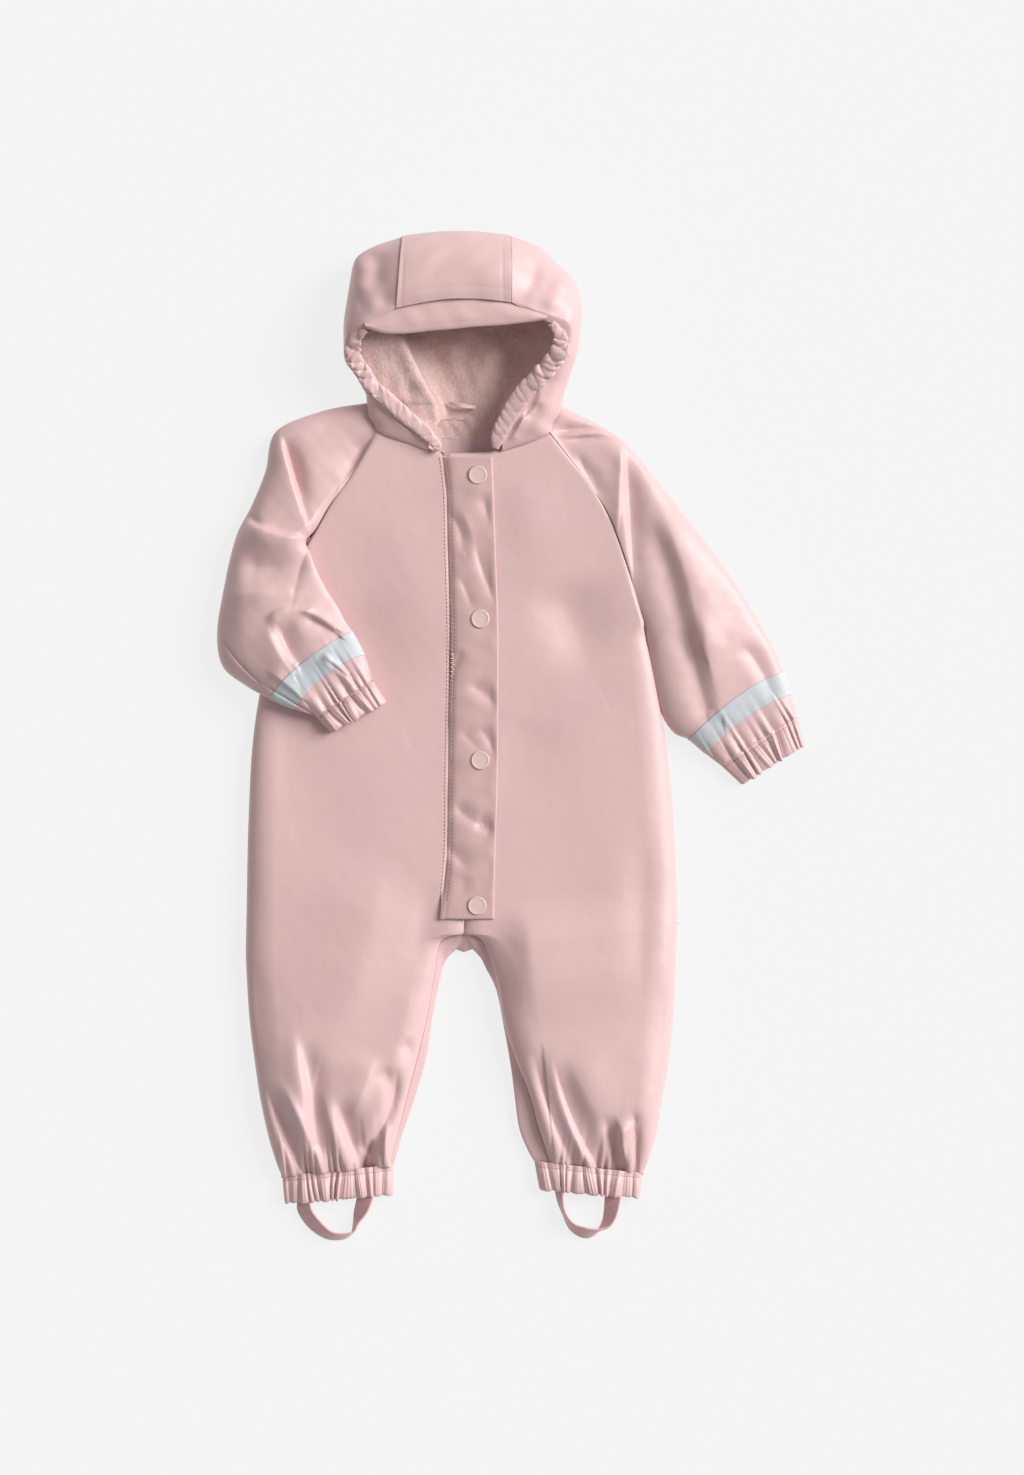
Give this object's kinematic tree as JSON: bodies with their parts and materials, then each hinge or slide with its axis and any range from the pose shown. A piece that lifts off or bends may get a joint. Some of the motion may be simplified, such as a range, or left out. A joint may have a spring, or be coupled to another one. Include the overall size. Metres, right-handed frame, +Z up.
{
  "type": "puddle suit",
  "caption": "Toddler's one-piece rain suit of coated fabric, laid flat on its back, with fleece-lined hood, snapped storm flap, reflective tape and foot straps.",
  "frame": {"origin": "middle of the laid-out suit's outline, on the surface that it lies on", "axes": "+X towards the wearer's left sleeve, +Y from the feet to the hood, +Z up out of the front"},
  "size_m": [0.4713, 0.8091, 0.0608],
  "materials": {
    "shell": "polyurethane-coated knit, soft satin",
    "fleece": "brushed micro fleece",
    "reflective_tape": "glass-bead reflective film",
    "zip_tape": "moulded teeth on woven tape",
    "snap_caps": "moulded, satin",
    "elastic": "woven elastic, matt"
  },
  "bodies": {
    "root": {"front_right": "shell", "front_left": "shell", "back_right": "shell", "back_left": "shell", "sleeve_right": "shell", "sleeve_left": "shell", "tape_right": "reflective_tape", "tape_left": "reflective_tape", "cuff_wrist_right": "shell", "cuff_wrist_left": "shell", "cuff_ankle_right": "shell", "cuff_ankle_left": "shell", "storm_flap": "shell", "zip": "zip_tape", "snap_1": "snap_caps", "snap_2": "snap_caps", "snap_3": "snap_caps", "snap_4": "snap_caps", "hood_centre": "shell", "hood_side_right": "shell", "hood_side_left": "shell", "hood_rim_right": "shell", "hood_rim_left": "shell", "peak": "shell", "hood_lining": "fleece", "neck_band": "fleece", "neck_facing": "shell", "hanger_loop": "shell", "stirrup_right": "elastic", "stirrup_left": "elastic"}
  },
  "joints": []
}
